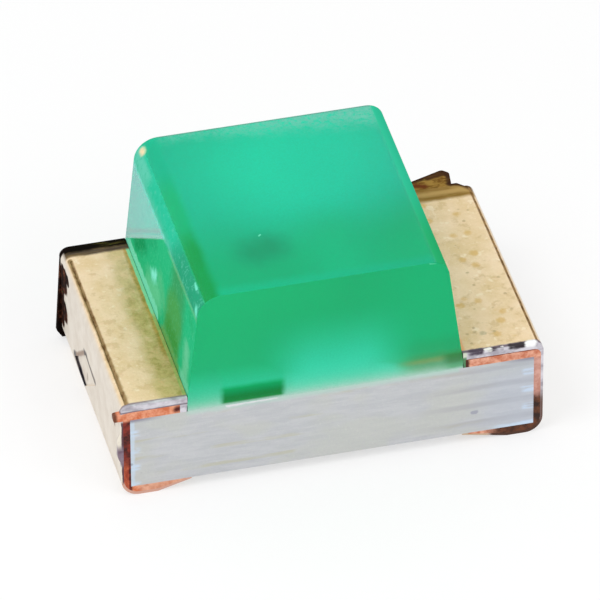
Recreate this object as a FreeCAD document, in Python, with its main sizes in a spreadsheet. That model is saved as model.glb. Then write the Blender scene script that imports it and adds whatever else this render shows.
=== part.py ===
import FreeCAD, Part
import math
import os
import Sketcher

# Chip LED with a moulded lens on a laminate board.
# X runs along the length, Y across the width, Z up from the solder faces.
# The front and back faces are saw cuts that show the section of every layer.

SIZES = {
    # Board and overall size, mm
    "body_length": 2.0,
    "body_width": 1.25,
    "body_height": 1.07,
    "board_thickness": 0.385,
    # Copper and nickel of the two terminals
    "top_copper": 0.045,
    "pad_nickel": 0.035,
    "lead_nickel": 0.012,
    "end_copper": 0.033,
    "end_nickel": 0.012,
    "solder_copper": 0.035,
    "solder_nickel": 0.015,
    "left_pad_length": 0.31,
    "right_pad_length": 0.378,
    "pad_tuck": 0.005,
    "left_hook": 0.035,
    "right_hook": 0.012,
    "left_solder_length": 0.33,
    "right_solder_length": 0.385,
    "solder_flat_length": 0.17,
    "feather_edge": 0.006,
    "feather_setback": 0.03,
    "top_edge_radius": 0.045,
    "solder_edge_radius": 0.085,
    # Leads under the lens
    "lead_width": 0.3,
    "die_pad_length": 0.546,
    "die_pad_width": 0.48,
    "die_pad_margin": 0.12,
    "stub_width": 0.285,
    "stub_gap": 0.065,
    "land_length": 0.245,
    "land_gap": 0.07,
    # Die, its glue and its bond
    "die_offset": 0.18,
    "die_size": 0.2,
    "die_height": 0.1,
    "die_chamfer": 0.008,
    "glue_line": 0.01,
    "glue_climb": 0.03,
    "glue_margin": 0.025,
    "glue_rim": 0.006,
    "contact_diameter": 0.1,
    "contact_thickness": 0.005,
    "ball_diameter": 0.075,
    "ball_height": 0.022,
    "wire_diameter": 0.025,
    "wire_rise": 0.11,
    "wire_bend": 0.05,
    "wire_toe": 0.04,
    "stitch_length": 0.06,
    "stitch_width": 0.05,
    "stitch_thickness": 0.008,
    "stitch_inset": 0.08,
    # Lens
    "lens_draft": 7.0,
    "lens_edge_radius": 0.1,
    # Marks and burrs of this one piece
    "resist_thickness": 0.012,
    "resist_bar": 0.12,
    "resist_stem": 0.3,
    "resist_width": 0.8,
    "resist_gap": 0.12,
    "groove_inset": 0.022,
    "groove_width": 0.02,
    "groove_depth": 0.014,
    "groove_front_gap": 0.02,
    "groove_back_gap": 0.11,
    "dent_depth": 0.008,
    "dent_height": 0.18,
    "dent_length": 0.195,
    "dent_slant": 0.235,
    "dent_drop": 0.03,
    "dent_base": 0.085,
    "dent_centre": 0.115,
    "tip_reach": 0.033,
    "tip_depth": 0.03,
    "tip_height": 0.036,
    "tip_radius": 0.01,
    "smear_reach": 0.014,
    "smear_depth": 0.03,
    "smear_height": 0.205,
    "smear_flank": 0.055,
    "smear_middle": 0.27,
    "smear_radius": 0.04,
    "tab_length": 0.27,
    "tab_end_gap": 0.1,
    "tab_root": 0.065,
    "tab_shoulder": 0.03,
    "tab_reach": 0.147,
    "tab_slope": 0.087,
    "tab_overhang": 0.012,
    "tab_bevel": 0.03,
    "tab_radius": 0.02,
    "fin_reach": 0.025,
    "fin_thickness": 0.025,
    "fin_low": 0.012,
    "fin_toe": 0.04,
    "fin_high": 0.462,
}

# Two places nearer than this are the same one, mm
CLOSE = 1e-5

doc = FreeCAD.newDocument("chip_led")
sheet = doc.addObject("Spreadsheet::Sheet", "Sizes")
for row, (name, size) in enumerate(SIZES.items(), start=1):
    sheet.set(f"A{row}", name)
    sheet.set(f"B{row}", str(size))
    sheet.setAlias(f"B{row}", name)
doc.recompute()


def size(name):
    """The expression that reads one named size."""
    return f"Sizes.{name}"


def total(*parts):
    """The expression for a sum of other expressions."""
    return "(" + " + ".join(parts) + ")"


def less(first, *others):
    """The expression for a first part with the others taken off."""
    return "(" + " - ".join((first,) + others) + ")"


def half(part):
    return f"({part}) / 2"


def minus(part):
    return f"-({part})"


def value(expression):
    """What an expression comes to, in millimetres or degrees."""
    return float(sheet.evalExpression(expression))


# Heights
BOARD_BOTTOM = total(size("solder_nickel"), size("solder_copper"))
BOARD_TOP = total(BOARD_BOTTOM, size("board_thickness"))
BOARD_MIDDLE = total(BOARD_BOTTOM, half(size("board_thickness")))
COPPER_TOP = total(BOARD_TOP, size("top_copper"))
PAD_TOP = total(COPPER_TOP, size("pad_nickel"))
LEAD_TOP = total(COPPER_TOP, size("lead_nickel"))
DIE_BOTTOM = total(LEAD_TOP, size("glue_line"))
DIE_TOP = total(DIE_BOTTOM, size("die_height"))
CONTACT_TOP = total(DIE_TOP, size("contact_thickness"))
BALL_TOP = total(CONTACT_TOP, size("ball_height"))

# Distances along the length and across the width
HALF_WIDTH = half(size("body_width"))
END = half(size("body_length"))
COPPER_END = less(END, size("end_nickel"))
BOARD_END = less(COPPER_END, size("end_copper"))
DIE_X = minus(size("die_offset"))
DIE_PAD_RIGHT = total(DIE_X, half(size("die_size")), size("die_pad_margin"))
DIE_PAD_LEFT = less(DIE_PAD_RIGHT, size("die_pad_length"))

# The two terminals: which way each one points, and its own sizes
SIDES = {
    "left": {"sign": -1, "pad": "left_pad_length", "hook": "left_hook", "solder": "left_solder_length"},
    "right": {"sign": 1, "pad": "right_pad_length", "hook": "right_hook", "solder": "right_solder_length"},
}


def outward(side, distance):
    """A distance from the middle turned into an X place on one side."""
    return distance if SIDES[side]["sign"] > 0 else minus(distance)


def lens_foot(side):
    """How far from the middle the lens meets the top of a pad."""
    return less(END, size(SIDES[side]["pad"]))


def pad_inner(side):
    """How far from the middle the pad's nickel ends, tucked under the lens."""
    return less(lens_foot(side), size("pad_tuck"))


def copper_inner(side):
    """How far from the middle the pad's copper ends, inside the nickel's hook."""
    return total(pad_inner(side), size(SIDES[side]["hook"]))


def solder_inner(side):
    return less(END, size(SIDES[side]["solder"]))


LAND_INNER = less(pad_inner("right"), size("land_length"))
STITCH_X = total(LAND_INNER, size("stitch_inset"))


# Sketch helpers
def origin_plane(body, role):
    return next(item for item in body.Origin.OriginFeatures if item.Role == role)


def new_body(name):
    return doc.addObject("PartDesign::Body", name)


def new_sketch(body, name, role, offset=None):
    """A sketch on one of the body's own planes, moved along the plane's normal."""
    sketch = body.newObject("Sketcher::SketchObject", name)
    sketch.AttachmentSupport = (origin_plane(body, role), [""])
    sketch.MapMode = "FlatFace"
    if offset is not None:
        sketch.setExpression("AttachmentOffset.Base.z", offset)
    return sketch


def drive(sketch, constraint, expression):
    """Adds a constraint whose value an expression gives."""
    index = sketch.addConstraint(constraint)
    sketch.setExpression(f"Constraints[{index}]", expression)


def pin(sketch, edge, end, x, y):
    """Holds an end of an edge at a place."""
    drive(sketch, Sketcher.Constraint("DistanceX", -1, 1, edge, end, value(x)), x)
    drive(sketch, Sketcher.Constraint("DistanceY", -1, 1, edge, end, value(y)), y)


def add_outline(sketch, corners):
    """A closed outline of straight edges through corners."""
    places = [FreeCAD.Vector(value(x), value(y), 0) for x, y in corners]
    for start, end in zip(places, places[1:] + places[:1]):
        sketch.addGeometry(Part.LineSegment(start, end), False)
    for edge in range(len(corners)):
        following = (edge + 1) % len(corners)
        sketch.addConstraint(Sketcher.Constraint("Coincident", edge, 2, following, 1))
    for edge, (x, y) in enumerate(corners):
        pin(sketch, edge, 1, x, y)


def add_circle(sketch, x, y, diameter):
    centre = FreeCAD.Vector(value(x), value(y), 0)
    sketch.addGeometry(Part.Circle(centre, FreeCAD.Vector(0, 0, 1), value(diameter) / 2), False)
    pin(sketch, 0, 3, x, y)
    drive(sketch, Sketcher.Constraint("Diameter", 0, value(diameter)), diameter)


def pad(body, sketch, name, length, symmetric=False, taper=None):
    """Raises a sketch by a length, both ways from its plane where symmetric."""
    feature = body.newObject("PartDesign::Pad", name)
    feature.Profile = sketch
    feature.setExpression("Length", length)
    if symmetric:
        feature.SideType = "Symmetric"
    if taper is not None:
        feature.setExpression("TaperAngle", taper)
    doc.recompute()
    return feature


def section_body(name, corners, width=size("body_width")):
    """A bar along Y with the given XZ section, centred on the width."""
    body = new_body(name)
    sketch = new_sketch(body, f"{name}_section", "XZ_Plane")
    add_outline(sketch, corners)
    bar = pad(body, sketch, f"{name}_bar", width, symmetric=True)
    return body, bar


def plan_body(name, corners, base, thickness):
    """A plate with the given XY outline, from a base height up."""
    body = new_body(name)
    sketch = new_sketch(body, f"{name}_plan", "XY_Plane", base)
    add_outline(sketch, corners)
    plate = pad(body, sketch, f"{name}_plate", thickness)
    return body, plate


def rectangle(x_low, x_high, y_low, y_high):
    return [(x_low, y_low), (x_high, y_low), (x_high, y_high), (x_low, y_high)]


def edges_at(shape, place):
    """Names of the edges whose two ends both have the given coordinates."""
    names = []
    for index, edge in enumerate(shape.Edges, start=1):
        ends = [vertex.Point for vertex in edge.Vertexes]
        gaps = [abs(getattr(point, axis) - at) for point in ends for axis, at in place.items()]
        if len(ends) == 2 and max(gaps) < CLOSE:
            names.append(f"Edge{index}")
    return names


def round_edge(body, base, name, radius, **place):
    """Rounds the straight edge at a place, given by the two coordinates that don't change along it."""
    feature = body.newObject("PartDesign::Fillet", name)
    feature.Base = (base, edges_at(base.Shape, {axis: value(at) for axis, at in place.items()}))
    feature.setExpression("Radius", radius)
    doc.recompute()
    return feature


# Boolean helpers
def fuse(name, pieces):
    joined = doc.addObject("Part::MultiFuse", name)
    joined.Shapes = pieces
    joined.Refine = True
    return joined


def cut(name, base, tool):
    rest = doc.addObject("Part::Cut", name)
    rest.Base = base
    rest.Tool = tool
    return rest


def common(name, pieces):
    shared = doc.addObject("Part::MultiCommon", name)
    shared.Shapes = pieces
    return shared


def slab(name, low, high):
    """A wide plate between two heights, to split the terminal copper with."""
    plate = doc.addObject("Part::Box", name)
    plate.setExpression("Length", f"{size('body_length')} * 2")
    plate.setExpression("Width", f"{size('body_width')} * 2")
    plate.setExpression("Height", less(high, low))
    plate.setExpression("Placement.Base.x", minus(size("body_length")))
    plate.setExpression("Placement.Base.y", minus(size("body_width")))
    plate.setExpression("Placement.Base.z", low)
    return plate


# Board
def make_board():
    corners = rectangle(minus(BOARD_END), BOARD_END, BOARD_BOTTOM, BOARD_TOP)
    body, _ = section_body("board", corners)
    return body


# Terminal blanks: the whole wrapped end before the board is taken out of it
def blank_section(side, end, bottom, inner, top, solder_end):
    """The XZ section of a wrapped end, its underside rising to a thin inner edge."""
    flat = outward(side, less(END, size("solder_flat_length")))
    feather = less(BOARD_BOTTOM, size("feather_edge"))
    return [
        (outward(side, end), bottom),
        (flat, bottom),
        (outward(side, solder_end), feather),
        (outward(side, solder_end), BOARD_MIDDLE),
        (outward(side, inner), BOARD_MIDDLE),
        (outward(side, inner), top),
        (outward(side, end), top),
    ]


def make_blank(side, layer, end, bottom, inner, top, solder_end, shrink):
    """A wrapped end with its two outer edges rounded; shrink keeps the layers even."""
    name = f"{side}_{layer}_blank"
    outer = outward(side, end)
    body, bar = section_body(name, blank_section(side, end, bottom, inner, top, solder_end))
    low_radius = less(size("solder_edge_radius"), shrink)
    top_radius = less(size("top_edge_radius"), shrink)
    low = round_edge(body, bar, f"{name}_low_edge", low_radius, x=outer, z=bottom)
    round_edge(body, low, f"{name}_top_edge", top_radius, x=outer, z=top)
    return body


def make_copper_blank(side):
    solder_end = total(solder_inner(side), size("feather_setback"))
    return make_blank(
        side, "copper", COPPER_END, size("solder_nickel"), copper_inner(side), COPPER_TOP, solder_end,
        size("end_nickel"),
    )


def make_nickel_blank(side):
    return make_blank(side, "nickel", END, "0", pad_inner(side), PAD_TOP, solder_inner(side), "0")


# Leads under the lens
def left_lead_plan():
    """From the left pad: a neck, the die pad, and a stub towards the front cut."""
    start = outward("left", copper_inner("left"))
    neck = half(size("lead_width"))
    side = half(size("die_pad_width"))
    stub_end = less(HALF_WIDTH, size("stub_gap"))
    stub_right = total(DIE_PAD_LEFT, size("stub_width"))
    return [
        (start, minus(neck)),
        (DIE_PAD_LEFT, minus(neck)),
        (DIE_PAD_LEFT, minus(stub_end)),
        (stub_right, minus(stub_end)),
        (stub_right, minus(side)),
        (DIE_PAD_RIGHT, minus(side)),
        (DIE_PAD_RIGHT, side),
        (DIE_PAD_LEFT, side),
        (DIE_PAD_LEFT, neck),
        (start, neck),
    ]


def right_lead_plan():
    """From the right pad: the land that takes the wire."""
    reach = less(HALF_WIDTH, size("land_gap"))
    return rectangle(LAND_INNER, outward("right", copper_inner("right")), minus(reach), reach)


LEAD_PLANS = {"left": left_lead_plan, "right": right_lead_plan}


def make_tip():
    """The blunt copper burr that the saw pushed over the left end of the front cut."""
    body = new_body("left_tip")
    sketch = new_sketch(body, "left_tip_section", "XZ_Plane", less(HALF_WIDTH, size("tip_depth")))
    root = minus(BOARD_END)
    nose = minus(total(END, size("tip_reach")))
    brow = total(BOARD_TOP, size("tip_height"))
    add_outline(sketch, [(root, BOARD_TOP), (nose, BOARD_TOP), (nose, brow), (root, COPPER_TOP)])
    wedge = pad(body, sketch, "left_tip_wedge", size("tip_depth"))
    low = round_edge(body, wedge, "left_tip_low_edge", size("tip_radius"), x=nose, z=BOARD_TOP)
    round_edge(body, low, "left_tip_top_edge", size("tip_radius"), x=nose, z=brow)
    return body


# Terminal pieces
def make_top_copper(side, blank, above_board, extra):
    lead, _ = plan_body(f"{side}_copper_lead", LEAD_PLANS[side](), BOARD_TOP, size("top_copper"))
    wrapped = common(f"{side}_copper_pad", [blank, above_board])
    return fuse(f"{side}_top_copper", [wrapped, lead] + extra)


def make_plating(side, copper, board, extra, marks):
    """The nickel and gold skin: the blank and the lead's cover without what they wrap."""
    blank = make_nickel_blank(side)
    lead, _ = plan_body(f"{side}_nickel_lead", LEAD_PLANS[side](), COPPER_TOP, size("lead_nickel"))
    whole = fuse(f"{side}_nickel_whole", [blank, lead] + extra)
    inside = fuse(f"{side}_nickel_inside", copper + [board] + marks)
    return cut(f"{side}_plating", whole, inside)


# Marks in the left plating
def make_groove():
    """The seam along the outer edge of the left pad."""
    body = new_body("left_groove")
    sketch = new_sketch(body, "left_groove_section", "XZ_Plane", less(HALF_WIDTH, size("groove_front_gap")))
    right = minus(less(END, size("groove_inset"), size("groove_width")))
    left = minus(less(END, size("groove_inset")))
    middle = half(total(left, right))
    add_outline(sketch, [(left, PAD_TOP), (middle, less(PAD_TOP, size("groove_depth"))), (right, PAD_TOP)])
    length = less(size("body_width"), size("groove_front_gap"), size("groove_back_gap"))
    feature = pad(body, sketch, "left_groove_run", length)
    feature.Reversed = True
    return body


def make_dent():
    """The shallow slanted dent low on the left end."""
    body = new_body("left_dent")
    sketch = new_sketch(body, "left_dent_outline", "YZ_Plane", minus(END))
    low_back = total(size("dent_centre"), half(total(size("dent_length"), size("dent_slant"))))
    low_front = less(low_back, size("dent_length"))
    base = size("dent_base")
    top = total(base, size("dent_height"))
    corners = [
        (low_back, total(base, half(size("dent_drop")))),
        (low_front, less(base, half(size("dent_drop")))),
        (less(low_front, size("dent_slant")), less(top, half(size("dent_drop")))),
        (less(low_back, size("dent_slant")), total(top, half(size("dent_drop")))),
    ]
    add_outline(sketch, corners)
    pad(body, sketch, "left_dent_pocket", size("dent_depth"))
    return body


def make_fin():
    """The thin burr down the back of the left end, widest near its foot."""
    body = new_body("left_fin")
    sketch = new_sketch(body, "left_fin_section", "XZ_Plane", minus(HALF_WIDTH))
    root = minus(BOARD_END)
    outer = minus(END)
    corners = [
        (root, size("fin_low")),
        (outer, size("fin_low")),
        (less(outer, size("fin_reach")), total(size("fin_low"), size("fin_toe"))),
        (outer, size("fin_high")),
        (root, size("fin_high")),
    ]
    add_outline(sketch, corners)
    pad(body, sketch, "left_fin_blade", size("fin_thickness"))
    return body


def make_smear():
    """The nickel that bulges out of the left end beside the front cut."""
    body = new_body("left_smear")
    sketch = new_sketch(body, "left_smear_section", "XZ_Plane", less(HALF_WIDTH, size("smear_depth")))
    root = minus(COPPER_END)
    outer = minus(total(END, size("smear_reach")))
    low = less(size("smear_middle"), half(size("smear_height")))
    high = total(size("smear_middle"), half(size("smear_height")))
    swell_low = total(low, size("smear_flank"))
    swell_high = less(high, size("smear_flank"))
    add_outline(sketch, [(root, low), (outer, swell_low), (outer, swell_high), (root, high)])
    swell = pad(body, sketch, "left_smear_swell", size("smear_depth"))
    lower = round_edge(body, swell, "left_smear_low_edge", size("smear_radius"), x=outer, z=swell_low)
    round_edge(body, lower, "left_smear_top_edge", size("smear_radius"), x=outer, z=swell_high)
    return body


def make_tab():
    """The torn tab that stands out behind the right pad, with the shoulder beside it."""
    right = less(END, size("tab_end_gap"))
    left = less(right, size("tab_length"))
    root = less(HALF_WIDTH, size("tab_root"))
    far = total(HALF_WIDTH, size("tab_reach"))
    shoulder = total(HALF_WIDTH, size("tab_shoulder"))
    outer = less(END, size("top_edge_radius"))
    brow = less(outer, size("tab_shoulder"))
    side = total(right, size("tab_overhang"))
    crest = less(side, size("tab_bevel"))
    cheek = less(far, size("tab_bevel"))
    corners = [
        (left, root),
        (outer, root),
        (outer, HALF_WIDTH),
        (brow, shoulder),
        (right, shoulder),
        (side, cheek),
        (crest, far),
        (left, less(far, size("tab_slope"))),
    ]
    body, plate = plan_body("right_tab", corners, COPPER_TOP, size("pad_nickel"))
    for number, (x, y) in enumerate(((side, cheek), (crest, far)), start=1):
        plate = round_edge(body, plate, f"right_tab_corner_{number}", size("tab_radius"), x=x, y=y)
    return body


# Solder-resist mark between the solder faces
def make_resist():
    """A plain T whose bar lies next to the left terminal."""
    bar_left = minus(less(solder_inner("left"), size("resist_gap")))
    bar_right = total(bar_left, size("resist_bar"))
    stem_right = total(bar_right, size("resist_stem"))
    wide = half(size("resist_width"))
    narrow = half(size("resist_bar"))
    corners = [
        (bar_left, minus(wide)),
        (bar_right, minus(wide)),
        (bar_right, minus(narrow)),
        (stem_right, minus(narrow)),
        (stem_right, narrow),
        (bar_right, narrow),
        (bar_right, wide),
        (bar_left, wide),
    ]
    base = less(BOARD_BOTTOM, size("resist_thickness"))
    body, _ = plan_body("polarity_mark", corners, base, size("resist_thickness"))
    return body


# Die and its glue
def square(centre_x, length):
    reach = half(length)
    return rectangle(less(centre_x, reach), total(centre_x, reach), minus(reach), reach)


def make_die():
    body, block = plan_body("led_die", square(DIE_X, size("die_size")), DIE_BOTTOM, size("die_height"))
    top = value(DIE_TOP)
    rim = [
        f"Edge{index}"
        for index, edge in enumerate(block.Shape.Edges, start=1)
        if all(abs(vertex.Z - top) < CLOSE for vertex in edge.Vertexes)
    ]
    bevel = body.newObject("PartDesign::Chamfer", "led_die_bevel")
    bevel.Base = (block, rim)
    bevel.setExpression("Size", size("die_chamfer"))
    doc.recompute()
    return body


def make_glue(die):
    """A low mound that climbs the die's sides, narrowing as it rises."""
    foot = total(size("die_size"), f"2 * {size('glue_margin')}")
    rise = total(size("glue_line"), size("glue_climb"))
    body = new_body("glue_mound")
    sketch = new_sketch(body, "glue_mound_plan", "XY_Plane", LEAD_TOP)
    add_outline(sketch, square(DIE_X, foot))
    slope = f"-atan({less(size('glue_margin'), size('glue_rim'))} / {rise})"
    pad(body, sketch, "glue_mound_rise", rise, taper=slope)
    return cut("die_attach", body, die)


def make_contact():
    body = new_body("die_contact")
    sketch = new_sketch(body, "die_contact_plan", "XY_Plane", DIE_TOP)
    add_circle(sketch, DIE_X, "0", size("contact_diameter"))
    pad(body, sketch, "die_contact_disc", size("contact_thickness"))
    return body


# Bond wire
def wire_points():
    """The corners of the wire's loop: up, over, down and along the land."""
    radius = value(size("wire_bend"))
    start = FreeCAD.Vector(value(DIE_X), value(BALL_TOP), 0)
    over = start + FreeCAD.Vector(0, value(size("wire_rise")), 0)
    crown = over + FreeCAD.Vector(radius, 0, 0)
    toe_end = FreeCAD.Vector(value(STITCH_X), value(LEAD_TOP) + value(size("wire_diameter")) / 2, 0)
    toe = toe_end - FreeCAD.Vector(value(size("wire_toe")), 0, 0)
    heel = toe + FreeCAD.Vector(0, radius, 0)
    return start, over, crown, heel, toe, toe_end, radius


def make_spine(body):
    """A tangent run of lines and arcs, solved from its two ends and its radius."""
    start, over, crown, heel, toe, toe_end, radius = wire_points()
    # The straight run is an inner tangent of the two bend circles.
    span = heel - crown
    centre_angle = math.atan2(span.y, span.x)
    normal = centre_angle + math.acos(2 * radius / span.Length)
    leave = crown + FreeCAD.Vector(radius * math.cos(normal), radius * math.sin(normal), 0)
    meet = heel - FreeCAD.Vector(radius * math.cos(normal), radius * math.sin(normal), 0)
    axis = FreeCAD.Vector(0, 0, 1)
    sketch = new_sketch(body, "bond_wire_spine", "XZ_Plane")
    sketch.addGeometry(Part.LineSegment(start, over), False)
    sketch.addGeometry(Part.ArcOfCircle(Part.Circle(crown, axis, radius), normal, math.pi), False)
    sketch.addGeometry(Part.LineSegment(leave, meet), False)
    turn = normal + math.pi
    sketch.addGeometry(Part.ArcOfCircle(Part.Circle(heel, axis, radius), turn, 1.5 * math.pi), False)
    sketch.addGeometry(Part.LineSegment(toe, toe_end), False)
    sketch.addConstraint(Sketcher.Constraint("Vertical", 0))
    sketch.addConstraint(Sketcher.Constraint("Tangent", 0, 2, 1, 2))
    sketch.addConstraint(Sketcher.Constraint("Tangent", 1, 1, 2, 1))
    sketch.addConstraint(Sketcher.Constraint("Tangent", 2, 2, 3, 1))
    sketch.addConstraint(Sketcher.Constraint("Tangent", 3, 2, 4, 1))
    sketch.addConstraint(Sketcher.Constraint("Horizontal", 4))
    pin(sketch, 0, 1, DIE_X, BALL_TOP)
    pin(sketch, 4, 2, STITCH_X, total(LEAD_TOP, half(size("wire_diameter"))))
    drive(sketch, Sketcher.Constraint("Radius", 1, radius), size("wire_bend"))
    drive(sketch, Sketcher.Constraint("Radius", 3, radius), size("wire_bend"))
    rise = value(size("wire_rise"))
    drive(sketch, Sketcher.Constraint("DistanceY", 0, 1, 0, 2, rise), size("wire_rise"))
    toe_length = value(size("wire_toe"))
    drive(sketch, Sketcher.Constraint("DistanceX", 4, 1, 4, 2, toe_length), size("wire_toe"))
    return sketch


def make_wire():
    """Gold wire: a flattened ball on the die, a loop, and a stitch on the land."""
    body = new_body("bond_wire")
    ball = new_sketch(body, "bond_ball_plan", "XY_Plane", CONTACT_TOP)
    add_circle(ball, DIE_X, "0", size("ball_diameter"))
    pad(body, ball, "bond_ball", size("ball_height"))
    spine = make_spine(body)
    section = new_sketch(body, "bond_wire_section", "XY_Plane", BALL_TOP)
    add_circle(section, DIE_X, "0", size("wire_diameter"))
    doc.recompute()
    run = body.newObject("PartDesign::AdditivePipe", "bond_wire_run")
    run.Profile = section
    run.Spine = (spine, [f"Edge{index}" for index in range(1, len(spine.Shape.Edges) + 1)])
    doc.recompute()
    stitch = new_sketch(body, "bond_stitch_plan", "XY_Plane", LEAD_TOP)
    wide = half(size("stitch_width"))
    stitch_left = less(STITCH_X, size("wire_toe"))
    add_outline(stitch, rectangle(stitch_left, total(stitch_left, size("stitch_length")), minus(wide), wide))
    pad(body, stitch, "bond_stitch", size("stitch_thickness"))
    return body


# Lens
def make_lens(inner_pieces):
    """A drafted block with two rounded top edges, moulded round everything inside."""
    rise = less(size("body_height"), PAD_TOP)
    lean = f"({rise}) * tan({size('lens_draft')} * 1deg)"
    top_left = minus(less(lens_foot("left"), lean))
    top_right = less(lens_foot("right"), lean)
    corners = [
        (minus(pad_inner("left")), BOARD_TOP),
        (pad_inner("right"), BOARD_TOP),
        (pad_inner("right"), PAD_TOP),
        (lens_foot("right"), PAD_TOP),
        (top_right, size("body_height")),
        (top_left, size("body_height")),
        (minus(lens_foot("left")), PAD_TOP),
        (minus(pad_inner("left")), PAD_TOP),
    ]
    body, bar = section_body("lens_blank", corners)
    height = size("body_height")
    left = round_edge(body, bar, "lens_left_edge", size("lens_edge_radius"), x=top_left, z=height)
    round_edge(body, left, "lens_right_edge", size("lens_edge_radius"), x=top_right, z=height)
    return cut("lens", body, fuse("lens_inside", inner_pieces))


def make_model():
    """All sub-parts, by the name of their node."""
    nodes = {}
    board = nodes["board"] = make_board()
    above = slab("above_board", BOARD_TOP, PAD_TOP)
    beside = slab("beside_board", BOARD_BOTTOM, BOARD_TOP)
    below = slab("below_board", "0", BOARD_BOTTOM)
    tip = make_tip()
    for side in SIDES:
        blank = make_copper_blank(side)
        top = make_top_copper(side, blank, above, [tip] if side == "left" else [])
        walls = common(f"{side}_copper_walls", [blank, beside])
        end = cut(f"{side}_end_copper", walls, board)
        solder = common(f"{side}_solder_copper", [blank, below])
        extra = [make_fin(), make_smear()] if side == "left" else [make_tab()]
        marks = [make_groove(), make_dent()] if side == "left" else []
        plating = make_plating(side, [top, end, solder], board, extra, marks)
        for name, piece in (("top_copper", top), ("end_copper", end), ("solder_copper", solder),
                            ("plating", plating)):
            nodes[f"{side}_{name}"] = piece
    nodes["polarity_mark"] = make_resist()
    die = nodes["led_die"] = make_die()
    glue = nodes["die_attach"] = make_glue(die)
    contact = nodes["die_contact"] = make_contact()
    wire = nodes["bond_wire"] = make_wire()
    inner = [nodes[f"{side}_{layer}"] for side in SIDES for layer in ("top_copper", "plating")]
    nodes["lens"] = make_lens(inner + [die, glue, contact, wire])
    return nodes


def check(nodes):
    """Stops with a plain message if anything in the document failed."""
    for item in doc.Objects:
        if "Invalid" in item.State or "Error" in item.State:
            raise RuntimeError(f"{item.Name} did not build: {item.State}")
    for name, piece in nodes.items():
        shape = piece.Shape
        if shape.isNull() or not shape.isValid() or len(shape.Solids) != 1:
            raise RuntimeError(f"{name} is not one valid solid")


nodes = make_model()
doc.recompute()
check(nodes)
os.makedirs("parts", exist_ok=True)
for name, piece in nodes.items():
    piece.Label = name
    piece.Shape.exportStep(f"parts/{name}.step")
    box = piece.Shape.BoundBox
    print(f"{name}: {piece.Shape.Volume:.6f} mm3, x {box.XMin:.3f} to {box.XMax:.3f},"
          f" y {box.YMin:.3f} to {box.YMax:.3f}, z {box.ZMin:.3f} to {box.ZMax:.3f}")
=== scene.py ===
import math
import bmesh
import bpy
from mathutils import Matrix, Vector


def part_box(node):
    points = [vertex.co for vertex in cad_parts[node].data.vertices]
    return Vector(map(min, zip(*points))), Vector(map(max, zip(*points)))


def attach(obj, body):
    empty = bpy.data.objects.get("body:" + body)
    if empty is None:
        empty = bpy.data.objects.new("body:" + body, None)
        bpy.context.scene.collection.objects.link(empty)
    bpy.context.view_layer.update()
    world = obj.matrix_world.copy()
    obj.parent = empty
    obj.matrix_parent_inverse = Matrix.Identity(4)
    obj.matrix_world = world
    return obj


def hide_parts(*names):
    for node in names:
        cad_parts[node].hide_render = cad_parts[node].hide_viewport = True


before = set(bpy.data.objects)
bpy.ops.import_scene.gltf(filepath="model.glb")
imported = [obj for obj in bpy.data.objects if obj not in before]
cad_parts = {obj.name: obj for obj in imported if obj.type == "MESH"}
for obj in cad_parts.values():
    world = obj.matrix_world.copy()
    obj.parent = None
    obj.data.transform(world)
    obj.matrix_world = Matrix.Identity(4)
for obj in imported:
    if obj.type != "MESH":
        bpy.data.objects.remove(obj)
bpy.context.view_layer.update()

MM = 0.001

# The photograph's camera: a long lens above the front left corner, aimed at the middle of the part
CAMERA_AIM = Vector((0.0, -0.006, 0.487)) * MM
CAMERA_DISTANCE = 41.68 * MM
CAMERA_AZIMUTH = math.radians(13.92)
CAMERA_ELEVATION = math.radians(37.42)
CAMERA_ROLL = math.radians(-0.29)
CAMERA_LENS = 540.0
CAMERA_SENSOR = 36.0

# Lens form that the frame's box doesn't give: edge radii at the left and right, and how much narrower
# its right side is at the front and back; below, it sinks into the board inside a narrow ledge
LENS_DRAFT = math.radians(7.0)
LENS_EDGE_RADII = (0.115 * MM, 0.085 * MM)
LENS_NARROWER = (0.014 * MM, 0.004 * MM)
LENS_SINK = 0.01 * MM
LENS_LEDGE = 0.004 * MM
LENS_LIFT = 0.0004 * MM
LENS_ARC_STEPS = 12
LENS_SHARP = math.radians(30)

# Places that the paint goes by, in mm
LENS_LOW, LENS_HIGH = [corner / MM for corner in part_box("lens")]
PAD_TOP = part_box("right_plating")[1].z / MM
TOP = LENS_HIGH.z
FRONT = LENS_LOW.y
LEFT_END = -1.0
# The left lead's stub: where along the length it ends in the dark resin, in mm, and the screen colour of the
# painted shade on its end
LEAD_STUB = (-0.52, -0.20)
STUB_SHADE = (16, 34, 18)

# Spacing of the board's plies and the height of the first seam, in mm
PLY = 0.1
PLY_SEAM = 0.105

# The resin: the opaque share of its clear and its dull places, and its inside in linear colour
RESIN_MILK = 0.45
OPAQUE = 1.0
ABSORBED = (0.0, 0.985, 0.85, 1.0)
ABSORB_DENSITY = 3500.0
SCATTERED = (0.5, 1.0, 0.98, 1.0)
SCATTER_DENSITY = 3000.0
SCATTER_FORWARD = 0.3
# The painted light at its foot, a pale veil: the height in mm up to which it is full, and its fall above
# that, per mm
VEIL_FULL = 0.435
VEIL_FALL = 29.4
# How steeply the edge of the mirrored backdrop runs down the left wall
MIRROR_SLOPE = 0.7056


def place(azimuth, elevation, distance, aim):
    """A point seen from aim towards the camera's side, at an azimuth, elevation and distance."""
    away = Vector((-math.sin(azimuth) * math.cos(elevation), -math.cos(azimuth) * math.cos(elevation),
                   math.sin(elevation)))
    return aim + away * distance


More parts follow.
